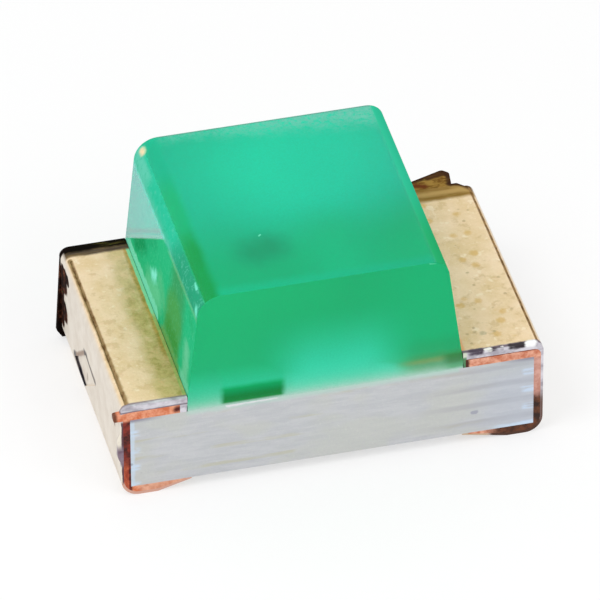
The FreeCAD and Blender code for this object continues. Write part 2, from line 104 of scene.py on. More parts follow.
def make_camera():
    data = bpy.data.cameras.new("camera")
    data.lens = CAMERA_LENS
    data.sensor_width = CAMERA_SENSOR
    data.clip_start = 0.1 * MM
    data.clip_end = 1.0
    camera = bpy.data.objects.new("camera", data)
    bpy.context.scene.collection.objects.link(camera)
    spot = place(CAMERA_AZIMUTH, CAMERA_ELEVATION, CAMERA_DISTANCE, CAMERA_AIM)
    turn = (CAMERA_AIM - spot).to_track_quat("-Z", "Y").to_matrix().to_4x4()
    camera.matrix_world = Matrix.Translation(spot) @ turn @ Matrix.Rotation(CAMERA_ROLL, 4, "Z")
    bpy.context.scene.camera = camera


make_camera()


# Colours and node helpers
def srgb(red, green, blue):
    """A colour given as it looks on screen, 0 to 255, in linear light."""
    def linear(channel):
        c = channel / 255
        return c / 12.92 if c <= 0.04045 else ((c + 0.055) / 1.055) ** 2.4
    return (linear(red), linear(green), linear(blue), 1.0)


class Recipe:
    """A material's nodes, with short calls for those that the finishes share. Lengths are in mm."""

    def __init__(self, name, normal="True Normal"):
        self.material = bpy.data.materials.new(name)
        self.material.use_nodes = True
        self.tree = self.material.node_tree
        self.shader = self.tree.nodes["Principled BSDF"]
        self.output = self.tree.nodes["Material Output"]
        self.noises = {}
        self.base = None
        self.mm = self.vector("SCALE", self.node("ShaderNodeTexCoord").outputs["Object"], scale=1 / MM)
        self.x, self.y, self.z = self.split(self.mm)
        self.nx, self.ny, self.nz = self.split(self.node("ShaderNodeNewGeometry").outputs[normal])

    def node(self, kind, **settings):
        made = self.tree.nodes.new(kind)
        for key, setting in settings.items():
            setattr(made, key, setting)
        return made

    def join(self, source, target):
        if isinstance(source, bpy.types.NodeSocket):
            self.tree.links.new(source, target)
        else:
            target.default_value = source

    def feed(self, made, *inputs):
        """Joins a node's inputs in order and gives its first output."""
        for source, target in zip(inputs, made.inputs):
            self.join(source, target)
        return made.outputs[0]

    def split(self, vector):
        made = self.node("ShaderNodeSeparateXYZ")
        self.join(vector, made.inputs[0])
        return made.outputs

    def math(self, operation, *inputs):
        return self.feed(self.node("ShaderNodeMath", operation=operation), *inputs)

    def vector(self, operation, *inputs, scale=None, output="Vector"):
        made = self.node("ShaderNodeVectorMath", operation=operation)
        self.feed(made, *inputs)
        if scale is not None:
            self.join(scale, made.inputs["Scale"])
        return made.outputs[output]

    def step(self, source, low, high):
        """0 below low and 1 above high; where high is under low, 1 below and 0 above."""
        made = self.node("ShaderNodeMapRange", interpolation_type="SMOOTHSTEP")
        ends = (0.0, 1.0) if low < high else (1.0, 0.0)
        return self.feed(made, source, min(low, high), max(low, high), *ends)

    def band(self, source, low, high, soft):
        """1 from low to high, with both borders soft."""
        rise, fall = self.step(source, low - soft, low + soft), self.step(source, high + soft, high - soft)
        return self.both(rise, fall)

    def between(self, mask, low, high):
        """A number that goes from low to high with a mask."""
        return self.feed(self.node("ShaderNodeMapRange"), mask, 0.0, 1.0, low, high)

    def both(self, *masks):
        product = masks[0]
        for mask in masks[1:]:
            product = self.math("MULTIPLY", product, mask)
        return product

    def either(self, *masks):
        largest = masks[0]
        for mask in masks[1:]:
            largest = self.math("MAXIMUM", largest, mask)
        return largest

    def noise(self, scale, detail=3.0, roughness=0.5, stretch=(1.0, 1.0, 1.0)):
        """Noise with so many swings to the millimetre; equal calls share one node."""
        call = (scale, detail, roughness, stretch)
        if call not in self.noises:
            made = self.node("ShaderNodeTexNoise")
            self.join(self.vector("MULTIPLY", self.mm, stretch), made.inputs["Vector"])
            for key, number in (("Scale", scale), ("Detail", detail), ("Roughness", roughness)):
                made.inputs[key].default_value = number
            self.noises[call] = made.outputs["Fac"]
        return self.noises[call]

    def ragged(self, source, amount, scale):
        """A coordinate or distance moved by noise, so that its borders come out uneven."""
        fine = self.math("SUBTRACT", self.noise(scale), 0.5)
        return self.math("MULTIPLY_ADD", fine, 2 * amount, source)

    def dots(self, scale, radius, share):
        """Round spots on a jittered lattice, in a share of its cells."""
        made = self.node("ShaderNodeTexVoronoi")
        self.join(self.mm, made.inputs["Vector"])
        made.inputs["Scale"].default_value = scale
        chosen = self.step(self.split(made.outputs["Color"])[0], share + 0.01, share)
        away = self.ragged(made.outputs["Distance"], 0.25 * radius * scale, 60.0)
        return self.both(chosen, self.step(away, radius * scale, 0.4 * radius * scale))

    def near(self, start, end=None):
        """Distance from a point, or from a straight line between two."""
        away = self.vector("SUBTRACT", self.mm, start)
        if end is None:
            return self.vector("LENGTH", away, output="Value")
        line = Vector(end) - Vector(start)
        along = self.vector("DOT_PRODUCT", away, line / line.length_squared, output="Value")
        along = self.feed(self.node("ShaderNodeClamp"), along)
        foot = self.vector("SCALE", tuple(line), scale=along)
        return self.vector("DISTANCE", away, foot, output="Value")

    def mark(self, width, start, end, wander, core=0.4):
        """A mask along a line: its half width, how far its border wanders, and the share that is full."""
        return self.step(self.ragged(self.near(start, end), wander, 25.0), width, core * width)

    def mix(self, mask, first, second):
        made = self.node("ShaderNodeMix", data_type="RGBA")
        self.join(mask, made.inputs["Factor"])
        self.join(first, made.inputs[6])
        self.join(second, made.inputs[7])
        return made.outputs[2]

    def tones(self, mask, dark, light):
        """Two screen colours mixed by a mask."""
        return self.mix(mask, srgb(*dark), srgb(*light))

    def paint(self, base, mask, color, share=1.0):
        """Lays a colour over a base where the mask is: three screen values, four linear ones or a socket."""
        if share < 1.0:
            mask = self.both(mask, share)
        if isinstance(color, tuple) and len(color) == 3:
            color = srgb(*color)
        return self.mix(mask, base, color)

    def coat(self, mask, color, share=1.0):
        """Paints the recipe's own base."""
        self.base = self.paint(self.base, mask, color, share)

    def bump(self, height, strength, distance):
        made = self.node("ShaderNodeBump")
        made.inputs["Strength"].default_value = strength
        made.inputs["Distance"].default_value = distance * MM
        self.join(height, made.inputs["Height"])
        self.join(made.outputs[0], self.shader.inputs["Normal"])

    def set(self, **sockets):
        """Feeds the shader's own sockets, named with underscores for spaces."""
        for key, source in sockets.items():
            self.join(source, self.shader.inputs[key.replace("_", " ")])


def dress(node, material):
    """Gives a CAD node its finish."""
    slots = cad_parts[node].data.materials
    slots.clear()
    slots.append(material)


# Laminate board
def laminate():
    r = Recipe("laminate")
    turn = 2 * math.pi / PLY
    swing = r.math("COSINE", r.math("MULTIPLY_ADD", r.ragged(r.z, 0.008, 4.0), turn, -turn * PLY_SEAM))
    seam = r.step(swing, 0.70, 0.97)
    sheet = r.step(swing, 0.0, -1.0)
    cloud = r.noise(6.0, 2.0, 0.5, (0.5, 1.0, 1.0))
    streak = r.noise(14.0, 3.0, 0.5, (0.25, 1.0, 1.0))
    fine = r.noise(60.0, 4.0, 0.6, (0.12, 1.0, 1.0))
    grain = r.noise(90.0, 4.0, 0.7)
    r.base = r.tones(r.step(fine, 0.3, 0.7), (183, 185, 189), (195, 196, 199))
    r.coat(r.step(cloud, 0.45, 0.60), (190, 192, 185), 0.6)
    r.coat(r.step(grain, 0.55, 0.75), (176, 172, 188), 0.4)
    r.coat(r.step(grain, 0.45, 0.28), (208, 210, 204), 0.4)
    r.coat(r.both(seam, r.step(streak, 0.50, 0.66)), (184, 182, 160), 0.7)
    # Near the terminals the plies part, with painted bluish-white glints on the sheets beside the copper
    parted = r.both(r.step(swing, 0.25, 0.95), r.step(r.ragged(r.x, 0.10, 9.0), 0.20, 0.75))
    r.coat(r.both(parted, r.between(r.step(fine, 0.35, 0.6), 0.25, 0.8)), (170, 170, 174))
    r.coat(r.step(r.ragged(r.x, 0.06, 6.0), 0.55, 0.90), (172, 184, 206), 0.3)
    beside = r.ragged(r.x, 0.02, 20.0)
    ends = r.either(r.step(beside, 0.885, 0.915), r.step(beside, -0.90, -0.93))
    r.coat(r.both(sheet, ends, r.step(fine, 0.35, 0.55)), (198, 216, 238), 0.8)
    bottom = r.step(r.ragged(r.z, 0.008, 20.0), 0.075, 0.060)
    r.coat(r.both(bottom, r.step(r.ragged(r.x, 0.05, 12.0), 0.72, 0.84)), (200, 220, 240), 0.8)
    # A painted bluish-white glint beside the left copper
    r.coat(r.step(r.ragged(r.x, 0.008, 30.0), -0.930, -0.942), (194, 212, 230), 0.7)
    r.coat(r.both(r.dots(22.0, 0.011, 0.3), r.step(r.x, -0.82, -0.88)), (90, 96, 116), 0.5)
    r.coat(r.mark(0.014, (0.665, FRONT, 0.165), (0.68, FRONT, 0.165), wander=0.01), (158, 160, 172))
    # Along the top edge: green light from the lens, a glint below the stub, shade below the pads
    edge = r.step(r.ragged(r.z, 0.008, 20.0), 0.40, 0.435)
    r.coat(r.both(r.band(r.x, -0.69, 0.60, 0.01), edge), (170, 208, 194), 0.7)
    glint = r.mark(0.012, (-0.50, FRONT, 0.432), (-0.27, FRONT, 0.434), wander=0.008, core=0.2)
    r.coat(glint, (226, 222, 228), 0.8)
    r.coat(r.both(r.step(r.z, 0.41, 0.43), r.step(r.math("ABSOLUTE", r.x), 0.75, 0.95)), (140, 138, 152))
    # Pale resin-rich face below the lens
    r.coat(r.step(r.nz, 0.5, 0.9), (0.88, 0.88, 0.88, 1.0))
    r.set(Base_Color=r.base, Roughness=0.5)
    r.bump(grain, 0.3, 0.004)
    return r.material


# Bare copper in the saw cuts
def copper():
    r = Recipe("copper")
    blotch = r.noise(26.0, 4.0, 0.65)
    rough = r.step(blotch, 0.35, 0.68)
    left, right = r.step(r.x, 0.0, -0.1), r.step(r.x, 0.5, 0.6)
    below = r.step(r.z, 0.44, 0.42)
    r.base = r.tones(rough, (206, 110, 68), (238, 168, 134))
    r.coat(r.step(r.x, 0.3, 0.31), r.tones(rough, (198, 116, 84), (236, 178, 152)))
    # End strips: dark red on the left with a brighter foot, dull pink on the right with a darker one
    left_strip = r.both(r.step(r.x, -0.945, -0.955), below)
    r.coat(left_strip, r.tones(rough, (56, 10, 4), (140, 44, 28)))
    foot = r.both(r.step(r.ragged(r.z, 0.05, 14.0), 0.24, 0.12), r.step(r.x, -0.962, -0.968))
    r.coat(r.both(left_strip, foot), r.tones(rough, (150, 52, 26), (206, 104, 66)))
    r.coat(r.both(r.step(r.x, 0.94, 0.95), below), r.tones(rough, (186, 128, 112), (214, 164, 150)))
    dark_foot = r.both(r.step(r.x, 0.70, 0.80), r.step(r.ragged(r.z, 0.03, 20.0), 0.25, 0.18))
    r.coat(dark_foot, r.tones(rough, (44, 20, 8), (108, 60, 32)))
    # Right foil's dark inner end and rim, left foil's pale underside, dark spot and browned burr
    r.coat(r.both(r.step(r.ragged(r.x, 0.01, 30.0), 0.652, 0.638), right), (74, 30, 12))
    r.coat(r.both(right, r.step(r.ragged(r.z, 0.004, 30.0), 0.473, 0.479)), (120, 60, 34))
    low = r.both(r.step(r.x, -0.93, -0.90), left, r.step(r.z, 0.10, 0.06))
    r.coat(low, r.tones(rough, (204, 138, 108), (232, 178, 150)))
    r.coat(r.mark(0.024, (-0.735, FRONT, 0.458), (-0.72, FRONT, 0.46), wander=0.01, core=0.1), (84, 16, 8))
    r.coat(r.both(r.step(r.ragged(r.x, 0.006, 30.0), -1.008, -1.024), left), (110, 60, 34))
    # Painted shade on the cut end of the left lead's stub
    r.coat(r.both(r.band(r.x, *LEAD_STUB, 0.005), r.band(r.y, -0.57, -0.55, 0.005)), STUB_SHADE)
    r.set(Base_Color=r.base, Metallic=0.45, Roughness=0.5)
    r.bump(blotch, 0.4, 0.006)
    return r.material


# Nickel and gold skin
def gold(r, left, right):
    """The two pads from above, with their clouds, crumbs and spots."""
    cloud, crumb = r.noise(7.0, 5.0, 0.65), r.noise(70.0, 3.0, 0.7)
    r.base = r.tones(r.step(cloud, 0.3, 0.7), (226, 198, 150), (240, 214, 178))
    r.coat(r.step(r.noise(17.0, 3.0, 0.6), 0.54, 0.66), (206, 176, 126), 0.5)
    r.coat(r.step(r.noise(23.0, 2.0, 0.5), 0.62, 0.70), (246, 228, 198), 0.6)
    r.coat(r.both(r.dots(13.0, 0.030, 0.55), right), (212, 170, 84), 0.65)
    r.coat(r.both(r.dots(24.0, 0.012, 0.25), right), (176, 150, 104), 0.6)
    r.coat(r.dots(7.0, 0.022, 0.35), (150, 146, 110), 0.5)
    r.coat(r.step(crumb, 0.55, 0.75), (200, 184, 136), 0.35)
    r.coat(r.step(crumb, 0.45, 0.28), (248, 234, 206), 0.35)
    lens_light_and_stain(r, left)
    r.coat(r.both(right, r.step(r.ragged(r.x, 0.006, 20.0), 0.640, 0.626)), (232, 172, 118))


def lens_light_and_stain(r, left):
    """Olive and ochre mottle beside the lens, partly stain and partly painted green light from the lens,
    with a film of resin at its foot.
    """
    patchy = r.step(r.noise(14.0, 4.0, 0.65), 0.30, 0.58)
    speckle = r.noise(34.0, 4.0, 0.7)
    fine = r.step(speckle, 0.35, 0.6)
    olive = r.tones(patchy, (206, 170, 104), (166, 150, 76))
    olive = r.mix(r.step(speckle, 0.35, 0.65), olive, srgb(198, 180, 114))
    reach = r.both(left, r.step(r.ragged(r.x, 0.035, 8.0), -0.835, -0.765), r.between(patchy, 0.5, 1.0))
    r.coat(r.both(reach, r.between(r.step(r.y, 0.5, 0.0), 0.6, 0.95)), olive)
    line = r.both(left, r.step(r.ragged(r.x, 0.012, 16.0), -0.725, -0.708))
    line = r.both(line, r.step(r.ragged(r.y, 0.1, 9.0), -0.40, -0.20))
    r.coat(line, r.tones(fine, (146, 132, 44), (190, 150, 68)), 0.85)
    film = r.both(left, r.step(r.ragged(r.x, 0.003, 30.0), -0.703, -0.697))
    r.coat(film, r.tones(fine, (150, 174, 96), (178, 186, 108)))
    r.coat(r.both(film, r.step(r.ragged(r.y, 0.03, 20.0), -0.02, 0.04)), (136, 214, 166))


# The torn tab behind the right pad: its outline from above, and its streaks as half width, ends and colour
TAB_OUTLINE = ((0.68, 0.705), (0.76, 0.735), (0.88, 0.765), (0.91, 0.73), (0.902, 0.66), (0.945, 0.65),
               (0.99, 0.60))
TAB_STREAKS = ((0.030, (0.70, 0.69), (0.77, 0.665), (104, 52, 12)),
               (0.024, (0.80, 0.72), (0.87, 0.735), (70, 40, 8)))


def back_edges(r, left, right, stripe):
    """The left pad's dark back with the fin, and the right pad's browned back with the tab."""
    back = r.ragged(r.y, 0.008, 18.0)
    dark_rim = r.tones(r.step(stripe, 0.35, 0.65), (60, 42, 14), (120, 96, 48))
    r.coat(r.both(left, r.step(back, 0.53, 0.55)), dark_rim)
    black_band = r.both(left, r.step(back, 0.562, 0.585))
    r.coat(black_band, r.tones(r.step(stripe, 0.58, 0.75), (10, 6, 2), (70, 64, 26)))
    brown = r.both(right, r.step(back, 0.53, 0.56))
    r.coat(brown, r.tones(r.step(stripe, 0.3, 0.7), (136, 104, 44), (178, 144, 84)))
    r.coat(r.both(right, r.band(back, 0.585, 0.612, 0.01)), (184, 150, 90))
    fleck = r.step(r.noise(38.0, 3.0, 0.6, (0.6, 1.6, 1.0)), 0.36, 0.60)
    r.coat(r.both(right, r.step(back, 0.63, 0.65)), r.tones(fleck, (110, 74, 18), (160, 124, 56)))
    for start, end in zip(TAB_OUTLINE, TAB_OUTLINE[1:]):
        edge = r.mark(0.034, (*start, PAD_TOP), (*end, PAD_TOP), wander=0.012, core=0.35)
        r.coat(r.both(right, edge), (56, 28, 8), 0.9)
    for width, start, end, tone in TAB_STREAKS:
        r.coat(r.mark(width, (*start, PAD_TOP), (*end, PAD_TOP), wander=0.008, core=0.1), tone)
    return black_band, brown


# Marks on the left end wall. Dark patches: half width, start y and z, end y and z
DARK_PATCHES = ((0.075, (0.53, 0.385), (0.60, 0.36)), (0.070, (0.53, 0.215), (0.60, 0.20)),
         (0.045, (0.57, 0.36), (0.58, 0.13)), (0.035, (0.45, 0.445), (0.56, 0.44)),
         (0.030, (0.50, 0.40), (0.50, 0.38)))
# Spots: half width, y and z, colour
SPOTS = ((0.030, (-0.60, 0.23), (104, 92, 102)), (0.020, (-0.50, 0.355), (128, 94, 78)),
         (0.022, (0.10, 0.16), (176, 164, 148)))
SPOT_LENGTH = 0.02
# Painted shade along the edges of the dent: half width, start y and z, end y and z, colour
DENT_SHADE = ((0.026, (0.335, 0.110), (0.220, 0.086), (70, 62, 66)),
        (0.030, (0.235, 0.088), (0.138, 0.066), (28, 22, 34)),
        (0.022, (0.100, 0.283), (-0.100, 0.266), (88, 72, 60)),
        (0.026, (0.118, 0.280), (0.075, 0.290), (46, 34, 26)),
        (0.024, (0.335, 0.110), (0.300, 0.130), (70, 60, 58)),
        (0.018, (0.290, 0.138), (0.140, 0.262), (146, 118, 96)))


def end_faces(r, left):
    """The end walls, pale with painted light; the left one has dark patches, spots and painted shade along a
    dent.
    """
    upright = r.step(r.math("ABSOLUTE", r.nx), 0.55, 0.9)
    wall = r.both(upright, r.step(r.math("ABSOLUTE", r.x), 0.979, 0.985))
    # Painted light: both end walls pale, as brightly lit plating
    r.coat(wall, r.tones(r.step(r.noise(9.0, 4.0, 0.6), 0.35, 0.65), (214, 203, 188), (225, 216, 203)))
    patch_tone = r.tones(r.step(r.noise(22.0, 4.0, 0.6), 0.45, 0.70), (24, 8, 4), (92, 52, 34))
    dark_patches = r.both(left, r.step(r.ragged(r.y, 0.01, 14.0), 0.585, 0.598), r.step(r.x, -0.95, -0.96))
    r.coat(dark_patches, (14, 6, 4))
    for width, start, end in DARK_PATCHES:
        patch = r.mark(width, (LEFT_END, *start), (LEFT_END, *end), wander=0.015, core=0.75)
        r.coat(patch, patch_tone)
        dark_patches = r.either(dark_patches, patch)
    for width, (y, z), tone in SPOTS:
        r.coat(r.mark(width, (LEFT_END, y, z), (LEFT_END, y, z - SPOT_LENGTH), wander=0.01), tone)
    # Painted shade along the edges of the dent
    for width, start, end, tone in DENT_SHADE:
        r.coat(r.mark(width, (LEFT_END, *start), (LEFT_END, *end), wander=0.006, core=0.3), tone)
    return dark_patches


# Dark smears and bright glints of the right pad in the front cut: half width, start and end x, colour,
# and the y and z that they lie at
GLINTS = ((0.022, 0.655, 0.70, (66, 52, 70)), (0.022, 0.845, 0.90, (30, 16, 26)),
          (0.014, 0.74, 0.80, (64, 50, 62)), (0.013, 0.728, 0.748, (240, 238, 232)),
          (0.009, 0.795, 0.805, (222, 216, 218)), (0.024, 0.930, 0.955, (250, 250, 250)))
GLINT_LINE = (-0.615, 0.510)


def front_cut(r, left, right):
    """Nickel in the front saw cut: grey-lilac at the left, smeared and dark at the right."""
    edge = r.step(r.ragged(r.y, 0.004, 30.0), -0.597, -0.607)
    smear = r.noise(16.0, 3.0, 0.6, (0.7, 1.0, 1.3))
    left_edge, right_edge = r.both(edge, left), r.both(edge, right)
    r.coat(edge, r.tones(r.step(smear, 0.35, 0.62), (166, 160, 170), (214, 210, 218)))
    rim = r.band(r.ragged(r.y, 0.004, 20.0), -0.609, -0.601, 0.005)
    r.coat(r.both(left, rim), (120, 100, 100), 0.8)
    r.coat(r.both(left_edge, r.band(r.ragged(r.z, 0.004, 20.0), 0.478, 0.485, 0.004)), (106, 92, 104))
    # The left skin has a painted ivory highlight outside, is dark against the copper, lilac where it bulges
    # and copper pink below
    below = r.step(r.z, 0.44, 0.42)
    flank = r.both(left_edge, r.step(r.x, -0.984, -0.988))
    r.coat(r.both(flank, below), (232, 224, 208))
    r.coat(r.both(flank, r.step(r.ragged(r.x, 0.004, 30.0), -0.999, -0.995), below), (92, 58, 66))
    bulge = r.both(flank, r.band(r.ragged(r.z, 0.015, 20.0), 0.175, 0.285, 0.02))
    r.coat(bulge, r.tones(r.step(smear, 0.35, 0.65), (112, 88, 104), (140, 124, 136)))
    bottom = r.step(r.z, 0.09, 0.06)
    r.coat(r.both(left_edge, bottom), (206, 160, 142))
    along = r.ragged(r.x, 0.02, 20.0)
    r.coat(r.both(right_edge, bottom, r.step(along, 0.72, 0.76)), (74, 44, 26))
    r.coat(r.both(right_edge, bottom, r.step(along, 0.76, 0.72)), (196, 168, 140))
    hook = r.both(right_edge, r.step(r.ragged(r.x, 0.004, 30.0), 0.640, 0.630), r.step(r.z, 0.40, 0.43))
    r.coat(hook, r.tones(r.step(r.z, 0.485, 0.500), (78, 132, 88), (206, 214, 196)))
    # Smeared burr along the right cut, dark with bright glints
    burr = r.band(r.ragged(r.y, 0.010, 16.0), -0.618, -0.600, 0.005)
    r.coat(r.both(right, burr), (112, 98, 108))
    for width, x0, x1, tone in GLINTS:
        r.coat(r.mark(width, (x0, *GLINT_LINE), (x1, *GLINT_LINE), wander=0.012), tone)
    corner = r.both(right_edge, r.step(r.x, 0.985, 0.99), r.step(r.ragged(r.z, 0.02, 20.0), 0.30, 0.16))
    r.coat(corner, (104, 78, 70))


def plating():
    r = Recipe("plating")
    left, right = r.step(r.x, 0.0, -0.01), r.step(r.x, 0.0, 0.01)
    stripe = r.noise(12.0, 3.0, 0.6, (0.4, 2.0, 1.0))
    gold(r, left, right)
    black_band, brown = back_edges(r, left, right, stripe)
    # Groove along the left pad
    groove = r.mark(0.016, (-0.972, 0.52, 0.508), (-0.962, -0.60, 0.508), wander=0.004)
    r.coat(groove, r.tones(r.step(r.noise(14.0, 4.0, 0.65), 0.35, 0.6), (112, 82, 46), (164, 140, 98)))
    dark_patches = end_faces(r, left)
    # Brown line along the outer edge of the right pad
    brink = r.both(right, r.band(r.ragged(r.nx, 0.06, 20.0), 0.30, 0.58, 0.08))
    brink = r.both(brink, r.step(r.z, 0.465, 0.48), r.step(r.y, 0.62, 0.60))
    r.coat(brink, r.tones(r.step(stripe, 0.35, 0.65), (98, 68, 36), (150, 118, 74)))
    front_cut(r, left, right)
    # Skin on the leads under the lens: a painted pale reflection on the die pad and painted shade on the
    # stub's end
    pale = r.both(r.band(r.x, -0.60, -0.20, 0.02), r.step(r.y, -0.20, -0.26), r.step(r.nz, 0.5, 0.9))
    r.coat(pale, (218, 208, 170))
    facing = r.both(r.step(r.ny, -0.5, -0.9), r.step(r.y, -0.6, -0.58))
    r.coat(r.both(r.band(r.x, *LEAD_STUB, 0.005), facing), STUB_SHADE)
    dull = r.either(black_band, dark_patches, r.both(brown, 0.8), groove, brink)
    r.set(Base_Color=r.base, Metallic=r.between(dull, 0.35, 0.0), Roughness=r.between(dull, 0.42, 0.9),
          Specular_IOR_Level=r.between(dull, 0.5, 0.05))
    r.bump(r.noise(18.0, 4.0, 0.6), 0.25, 0.012)
    return r.material


# Pieces below the lens and on the underside
def resist():
    r = Recipe("solder_resist")
    r.set(Base_Color=r.tones(r.noise(20.0, 3.0, 0.5), (22, 78, 42), (38, 112, 62)), Roughness=0.3)
    r.bump(r.noise(40.0), 0.2, 0.004)
    return r.material


def semiconductor():
    r = Recipe("semiconductor")
    r.set(Base_Color=r.tones(r.noise(30.0, 2.0, 0.5), (34, 30, 22), (56, 50, 36)), Roughness=0.25)
    return r.material


def silver_epoxy():
    r = Recipe("silver_epoxy")
    flake = r.noise(70.0, 4.0, 0.7)
    r.set(Base_Color=r.tones(flake, (70, 70, 68), (124, 124, 120)), Metallic=0.4, Roughness=0.55)
    r.bump(flake, 0.3, 0.005)
    return r.material


def bond_gold():
    r = Recipe("bond_gold")
    r.base = r.tones(r.noise(60.0, 2.0, 0.5), (240, 204, 120), (252, 226, 156))
    r.coat(r.step(r.z, 0.68, 0.62), (120, 92, 44))
    r.set(Base_Color=r.base, Metallic=0.5, Roughness=0.35)
    return r.material


def dress_nodes():
    skin, bare, wire = plating(), copper(), bond_gold()
    dress("board", laminate())
    for side in ("left", "right"):
        dress(f"{side}_plating", skin)
        for layer in ("top_copper", "end_copper", "solder_copper"):
            dress(f"{side}_{layer}", bare)
    dress("polarity_mark", resist())
    dress("led_die", semiconductor())
    dress("die_attach", silver_epoxy())
    dress("die_contact", wire)
    dress("bond_wire", wire)


dress_nodes()


# Lens
def lens_section():
    """The lens's XZ outline above the board, its two top edges as arcs, from lower left clockwise."""
    low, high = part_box("lens")
    lean = (high.z - PAD_TOP * MM) * math.tan(LENS_DRAFT)
    turn = math.pi / 2 - LENS_DRAFT
    arcs = []
    for foot, sign, radius in ((low.x, 1, LENS_EDGE_RADII[0]), (high.x, -1, LENS_EDGE_RADII[1])):
        reach = radius * math.tan(turn / 2)
        centre = Vector((foot + sign * (lean + reach), high.z - radius))
        arc = []
        for i in range(LENS_ARC_STEPS + 1):
            angle = LENS_DRAFT + turn * i / LENS_ARC_STEPS
            arc.append(centre + radius * Vector((-sign * math.cos(angle), math.sin(angle))))
        arcs.append(arc)
    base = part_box("board")[1].z + LENS_LIFT
    return [Vector((low.x, base))] + arcs[0] + arcs[1][::-1] + [Vector((high.x, base))]


def lens_mesh():
    """One closed mesh: the outline from the front cut to the back one, and a step down into the board."""
    low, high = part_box("lens")
    outline = lens_section()
    base = outline[0].y
    mesh = bmesh.new()
    rings = []
    for y, narrower in ((low.y, LENS_NARROWER[0]), (high.y, LENS_NARROWER[1])):
        shifts = [narrower if p.x > 0 and p.y > PAD_TOP * MM else 0.0 for p in outline]
        rings.append([mesh.verts.new((p.x - shift, y, p.y)) for p, shift in zip(outline, shifts)])
    for i in range(len(outline) - 1):
        mesh.faces.new((rings[0][i], rings[1][i], rings[1][i + 1], rings[0][i + 1]))
    mesh.faces.new(rings[0])
    mesh.faces.new(rings[1][::-1])
    rim = [rings[0][0], rings[0][-1], rings[1][-1], rings[1][0]]
    left, right = low.x + LENS_LEDGE, high.x - LENS_LEDGE
    front, back = low.y + LENS_LEDGE, high.y - LENS_LEDGE
    inner = []
    for x, y in ((left, front), (right, front), (right, back), (left, back)):
        inner.append((mesh.verts.new((x, y, base)), mesh.verts.new((x, y, base - LENS_LIFT - LENS_SINK))))
    for i in range(4):
        j = (i + 1) % 4
        mesh.faces.new((rim[i], rim[j], inner[j][0], inner[i][0]))
        mesh.faces.new((inner[i][0], inner[j][0], inner[j][1], inner[i][1]))
    mesh.faces.new([lower for upper, lower in inner])
    bmesh.ops.recalc_face_normals(mesh, faces=mesh.faces)
    return mesh


def make_lens():
    mesh = lens_mesh()
    data = bpy.data.meshes.new("moulded_lens")
    mesh.to_mesh(data)
    mesh.free()
    lens = bpy.data.objects.new("moulded_lens", data)
    bpy.context.scene.collection.objects.link(lens)
    for face in data.polygons:
        face.use_smooth = True
    data.set_sharp_from_angle(angle=LENS_SHARP)
    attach(lens, "root")
    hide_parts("lens")
    return lens


# Painted highlights on the lens, as bright specks: half width, start, end
SPARKLES = ((0.030, (-0.634, -0.600, 0.975), (-0.632, -0.590, 0.985)),
            (0.005, (0.455, -0.622, 1.066), (0.485, -0.622, 1.062)),
            (0.006, (-0.248, -0.232, 1.07), (-0.24, -0.225, 1.07)),
            (0.012, (-0.606, -0.50, 1.030), (-0.603, -0.46, 1.034)))
# Painted reflections on the left wall below the mirrored backdrop:
# half width, share that is full, start y and z, end y and z, screen colour
WALL_REFLECTIONS = ((0.130, 0.1, (0.17, 0.56), (0.02, 0.62), (98, 200, 148)),
          (0.080, 0.0, (0.00, 0.72), (-0.08, 0.66), (80, 188, 132)),
          (0.085, 0.2, (0.44, 0.63), (0.31, 0.715), (26, 146, 88)),
          (0.070, 0.0, (0.28, 0.74), (0.14, 0.84), (38, 168, 112)),
          (0.190, 0.3, (-0.29, 0.88), (-0.30, 0.74), (60, 154, 95)),
          (0.190, 0.4, (-0.27, 0.70), (-0.26, 0.60), (76, 157, 80)),
          (0.085, 0.1, (-0.20, 0.61), (-0.34, 0.60), (66, 146, 60)),
          (0.060, 0.3, (-0.12, 0.515), (-0.40, 0.515), (106, 166, 88)),
          (0.085, 0.1, (-0.52, 0.70), (-0.54, 0.56), (102, 196, 150)),
          (0.050, 0.1, (-0.47, 0.535), (-0.60, 0.535), (112, 208, 168)),
          (0.062, 0.6, (0.62, 0.515), (0.02, 0.515), (126, 226, 192)),
          (0.050, 0.0, (0.135, 0.655), (0.085, 0.685), (134, 236, 212)),
          (0.060, 0.0, (-0.52, 0.90), (-0.58, 0.86), (44, 176, 116)))


class Resin(Recipe):
    """The lens's recipe. Its milk is the share that is opaque; at 1 a tint shows as it is written."""

    def __init__(self):
        super().__init__("lens_resin", "Normal")
        self.milk = RESIN_MILK
        self.left, self.right = self.step(self.nx, 0.0, -0.01), self.step(self.nx, 0.0, 0.01)
        self.side = self.step(self.math("ABSOLUTE", self.nx), 0.94, 0.985)
        self.cut = self.step(self.math("ABSOLUTE", self.ny), 0.5, 0.9)
        self.front = self.step(self.ny, -0.5, -0.9)
        self.top = self.step(self.nz, 0.9, 0.98)
        self.near_half = self.step(self.y, 0.1, -0.5)
        self.right_half = self.step(self.x, 0.05, 0.5)

    def thicken(self, mask, amount):
        """Adds milk where the mask is."""
        self.milk = self.math("MULTIPLY_ADD", mask, amount, self.milk)


def plain_tints(r):
    """The resin's green on the top, towards the back and the front, and on the two saw cuts, lighter at the
    right.
    """
    r.base = r.mix(r.near_half, (0.0, 0.73, 0.46, 1.0), (0.0, 0.64, 0.27, 1.0))
    r.coat(r.cut, (0.005, 0.72, 0.27, 1.0))
    r.coat(r.both(r.cut, r.right_half), (0.0, 0.83, 0.31, 1.0))
    r.coat(r.both(r.top, r.near_half, r.right_half), (0.0, 0.75, 0.30, 1.0))


